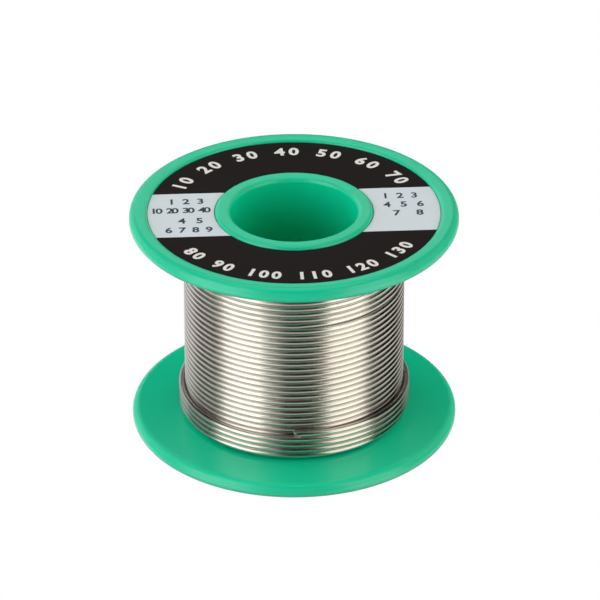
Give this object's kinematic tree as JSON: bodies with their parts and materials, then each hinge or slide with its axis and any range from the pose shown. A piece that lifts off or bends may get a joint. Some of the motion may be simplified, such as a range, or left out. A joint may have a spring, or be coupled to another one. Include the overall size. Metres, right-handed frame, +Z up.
{
  "type": "solder wire spool",
  "caption": "Moulded plastic reel with a hollow barrel, rounded flanges and a printed ring label, wound full with fine flux-cored solder wire.",
  "frame": {"origin": "centre of the face that the spool stands on, on the bore's axis", "axes": "+Z up along the bore's axis, towards the labelled flange; +X along the label's pale band"},
  "size_m": [0.0524, 0.0524, 0.0382],
  "materials": {
    "reel_plastic": "green moulded polystyrene, semi-gloss",
    "label_paper": "coated paper, printed near-black and pale grey",
    "solder_alloy": "bright drawn tin alloy wire",
    "flux_resin": "solid amber rosin"
  },
  "bodies": {
    "root": {"barrel": "reel_plastic", "bottom_flange": "reel_plastic", "top_flange": "reel_plastic", "top_label": "label_paper", "inner_winding": "solder_alloy", "solder_wire": "solder_alloy", "flux_core": "flux_resin"}
  },
  "joints": []
}
